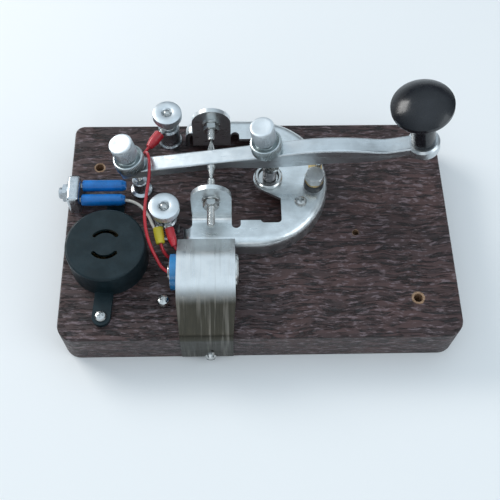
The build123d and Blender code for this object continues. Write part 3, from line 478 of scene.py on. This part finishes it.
def disc_nut(name, y, low):
    """Disc nut with a fine knurled edge, a stepped boss below and a dimple round the stud."""
    at = stand((POST_X * MM, y * MM, TOP))
    r = DISC_R
    rows = turned_rings(
        [(2.06, low), (4.4, low), (4.6, low + 0.3), (4.6, DISC_TOP - 4.6), (r - 0.9, DISC_TOP - 4.4),
         (r - 0.2, DISC_TOP - 4.2), (r, DISC_TOP - 3.9), (r, DISC_TOP - 0.8),
         (r - 0.25, DISC_TOP - 0.35), (r - 0.9, DISC_TOP), (3.4, DISC_TOP),
         (2.8, DISC_TOP - 0.25), (2.4, DISC_TOP - 0.9), (2.06, DISC_TOP - 1.2)],
        teeth=60, depth=0.35, knurl=(DISC_TOP - 4.0, DISC_TOP - 0.7), knurl_r=r)
    rows.append(rows[0])
    nut = tube_skin(name + "_vis", rows, at, "satin_nickel")
    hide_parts(name)
    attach(nut, name)


posts = [binding_post(f"post_{name}", y) for name, y in POST_YS.items()]
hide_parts("post_pillars")
for name, y in POST_YS.items():
    nut_low = (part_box(f"thumb_nut_{name}")[0].z - TOP) / MM
    disc_nut(f"thumb_nut_{name}", y, nut_low)


# ---------------------------------------------------------------- pivot screws and spring
def pivot_rods():
    """Two threaded rods with cupped points that hold the lever's axle."""
    low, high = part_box("pivot_screws")
    pivot = Vector(JOINTS["lever_pivot"]["pos_m"])
    cup = (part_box("lever_axle")[1].y - pivot.y) / MM - 0.9
    rods = []
    for side, end in ((-1, pivot.y - low.y), (1, high.y - pivot.y)):
        length = end / MM - cup
        at = stand(pivot + Vector((0, side * cup * MM, 0)), (0, side, 0))
        rows = [[(0, 0, 1.3)], ring(1.2, 0.0, 40), ring(1.55, 0.0, 40)]
        rows += thread_rings(1.97, 0.32, 0.7, 0.4, length - 0.4)
        rows += [ring(1.5, length, 40), ring(0.9, length, 40), [(0, 0, length)]]
        rods.append(skin(f"pivot_rod_{'rear' if side > 0 else 'front'}", rows, at, "bright_steel", 60))
    rod = join("pivot_rods", rods)
    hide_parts("pivot_screws")
    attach(rod, "base")


def coil_spring():
    """Compression spring with closed ends, from a helix of round wire."""
    low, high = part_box("return_spring")
    wire = 0.45 * MM
    middle = (low + high) / 2
    radius = (high.x - low.x) / 2 - wire
    turns, around, steps = 6.6, 12, 48
    height = high.z - low.z - 2 * wire
    rows = []
    for k in range(int(turns * steps) + 1):
        t = k / (turns * steps)
        eased = min(1.0, max(0.0, (t - 0.09) / 0.82))
        rise = 0.06 * min(t / 0.09, 1.0) + 0.88 * eased + 0.06 * max(0.0, (t - 0.91) / 0.09)
        a = 2 * math.pi * turns * t
        out = Vector((math.cos(a), math.sin(a), 0))
        centre = Vector((middle.x, middle.y, low.z + wire + height * rise)) + out * radius
        rows.append([tuple(centre + wire * (math.cos(b) * out + math.sin(b) * Vector((0, 0, 1))))
                     for b in (2 * math.pi * i / around for i in range(around))])
    spring = skin("return_spring_vis", rows, Matrix.Identity(4), "spring_steel", 60)
    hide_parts("return_spring")
    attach(spring, "base")
    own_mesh(spring)


pivot_rods()
coil_spring()


# ---------------------------------------------------------------- leads
WIRE_D = 0.0016
ROUTES = {
    "lead_rear_post": [
        (-0.05529, 0.04270, 0.03777), (-0.05877, 0.03800, 0.03695), (-0.0600, 0.0326, 0.0396),
        (-0.0586, 0.0304, 0.0464), (-0.0558, 0.0260, 0.0526), (-0.0546, 0.0184, 0.0543),
        (-0.0548, 0.0106, 0.0520), (-0.0562, 0.0026, 0.0492), (-0.0570, -0.0060, 0.0466),
        (-0.0562, -0.0142, 0.0434), (-0.0538, -0.0212, 0.0392), (-0.0506, -0.0264, 0.0352),
        (-0.0486, -0.0296, 0.0334), (-0.0456, -0.0315, 0.0329)],
    "lead_front_red": [
        (-0.04360, -0.01573, 0.03781), (-0.04245, -0.01970, 0.03663), (-0.0396, -0.0215, 0.0344),
        (-0.0360, -0.0212, 0.0318), (-0.0314, -0.0209, 0.0282), (-0.0254, -0.0213, 0.0262),
        (-0.0196, -0.0224, 0.0254), (-0.0146, -0.0250, 0.0260)],
    "lead_front_yellow": [
        (-0.04984, -0.01526, 0.03713), (-0.04915, -0.01917, 0.03613), (-0.0467, -0.0223, 0.0322),
        (-0.0443, -0.0219, 0.0284), (-0.0400, -0.0204, 0.0262), (-0.0348, -0.0194, 0.0252),
        (-0.0286, -0.0194, 0.0250), (-0.0222, -0.0200, 0.0251)],
    "lead_socket": [
        (-0.0742, 0.0109, 0.0320), (-0.0672, 0.0109, 0.0320), (-0.0608, 0.0084, 0.0298),
        (-0.0568, 0.0034, 0.0278), (-0.0546, -0.0022, 0.0265), (-0.0520, -0.0066, 0.0264)],
}
LEADS = {
    "lead_rear_post": (0.0920, "insulation_red"),
    "lead_front_red": (0.0362, "insulation_red"),
    "lead_front_yellow": (0.0368, "insulation_red"),
    "lead_socket": (0.0319, "lead_white"),
}


def lead(node, look):
    """Hook-up wire as one smooth spline through the route's control points."""
    curve = bpy.data.curves.new(node + "_vis", "CURVE")
    curve.dimensions = "3D"
    curve.bevel_depth = WIRE_D / 2
    curve.bevel_resolution = 5
    curve.resolution_u = 12
    curve.use_fill_caps = True
    spline = curve.splines.new("NURBS")
    points = ROUTES[node]
    spline.points.add(len(points) - 1)
    for point, place in zip(spline.points, points):
        point.co = (*place, 1)
    spline.order_u = 3
    spline.use_endpoint_u = True
    curve.materials.append(MATERIALS[look])
    piece = bpy.data.objects.new(node + "_vis", curve)
    bpy.context.scene.collection.objects.link(piece)
    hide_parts(node)
    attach(piece, "base")


for node, (length, look) in LEADS.items():
    lead(node, look)


# ---------------------------------------------------------------- floor, light, camera
FLOOR_SIZE = 25.0         # half its side, m
FLOOR_GAP = 0.0002        # below the board, m


def floor():
    """Plain pale floor, which isn't part of the object."""
    n = Nodes("pale_floor")
    tone = n.mix(n.noise(3, 3), (0.86, 0.86, 0.86), (0.90, 0.90, 0.89))
    n.set(Base_Color=tone, Roughness=0.85)
    mesh = bmesh.new()
    bmesh.ops.create_grid(mesh, x_segments=8, y_segments=8, size=FLOOR_SIZE)
    data = bpy.data.meshes.new("floor")
    mesh.to_mesh(data)
    mesh.free()
    data.transform(Matrix.Translation((0, 0, BOARD_LOW.z - FLOOR_GAP)))
    data.materials.append(n.material)
    piece = bpy.data.objects.new("floor", data)
    bpy.context.scene.collection.objects.link(piece)


def area_light(name, place, target, size, power, colour):
    light = bpy.data.lights.new(name, "AREA")
    light.shape = "RECTANGLE"
    light.size, light.size_y = size
    light.energy = power
    light.color = colour
    lamp = bpy.data.objects.new(name, light)
    aim = Vector(target) - Vector(place)
    lamp.matrix_world = Matrix.Translation(place) @ aim.to_track_quat("-Z", "Y").to_matrix().to_4x4()
    bpy.context.scene.collection.objects.link(lamp)


# name, place, target, size in metres, power in watts and colour
LAMPS = (("key", (-0.75, 0.50, 0.62), (0, 0, 0.03), (0.50, 0.40), 5.6, (1.0, 0.99, 0.97)),
         ("fill", (0.75, -0.35, 0.6), (0, 0, 0.03), (0.6, 0.6), 2.0, (0.9, 0.96, 1.0)),
         ("front", (-0.15, -0.8, 0.45), (0, 0, 0.02), (0.5, 0.3), 0.5, (1.0, 1.0, 1.0)))
# height on the sky and its colour there: a pale rim past the floor, a dark band, a pale zenith
SKY = ((0.06, (0.70, 0.76, 0.80, 1)), (0.14, (0.07, 0.08, 0.09, 1)), (0.34, (0.12, 0.14, 0.16, 1)),
       (0.62, (0.50, 0.59, 0.66, 1)), (0.95, (0.84, 0.98, 1.10, 1)))


def studio():
    """Soft daylight: a sky that is dark low down and pale overhead, and three soft lamps."""
    world = bpy.data.worlds.new("studio")
    world.use_nodes = True
    tree = world.node_tree
    coord = tree.nodes.new("ShaderNodeTexCoord").outputs["Generated"]
    split = tree.nodes.new("ShaderNodeSeparateXYZ")
    ramp = tree.nodes.new("ShaderNodeValToRGB")
    stops = ramp.color_ramp.elements
    stops.remove(stops[1])
    stops[0].position, stops[0].color = SKY[0]
    for height, colour in SKY[1:]:
        stops.new(height).color = colour
    tree.links.new(coord, split.inputs[0])
    tree.links.new(split.outputs["Z"], ramp.inputs["Fac"])
    tree.links.new(ramp.outputs["Color"], tree.nodes["Background"].inputs["Color"])
    bpy.context.scene.world = world
    for lamp in LAMPS:
        area_light(*lamp)


IMAGE_WIDTH = 500
FOCAL = 778.4             # focal length, in the units of IMAGE_WIDTH
CAMERA_PLACE = (-0.01455, -0.19742, 0.3802)
CAMERA_TURNS = ((-3.08, "Z"), (27.14, "X"), (2.11, "Z"))     # degrees, applied from left to right


def camera():
    """Camera at the viewing angle, with no shift and no depth of field."""
    data = bpy.data.cameras.new("camera")
    data.sensor_width = 36.0
    data.lens = FOCAL / IMAGE_WIDTH * data.sensor_width
    shot = bpy.data.objects.new("camera", data)
    aim = Matrix.Identity(4)
    for angle, axis in CAMERA_TURNS:
        aim = aim @ Matrix.Rotation(math.radians(angle), 4, axis)
    shot.matrix_world = Matrix.Translation(CAMERA_PLACE) @ aim
    data.clip_start = 0.01
    bpy.context.scene.collection.objects.link(shot)
    bpy.context.scene.camera = shot


floor()
studio()
camera()
bpy.context.scene.view_settings.view_transform = "Standard"

bpy.context.view_layer.update()
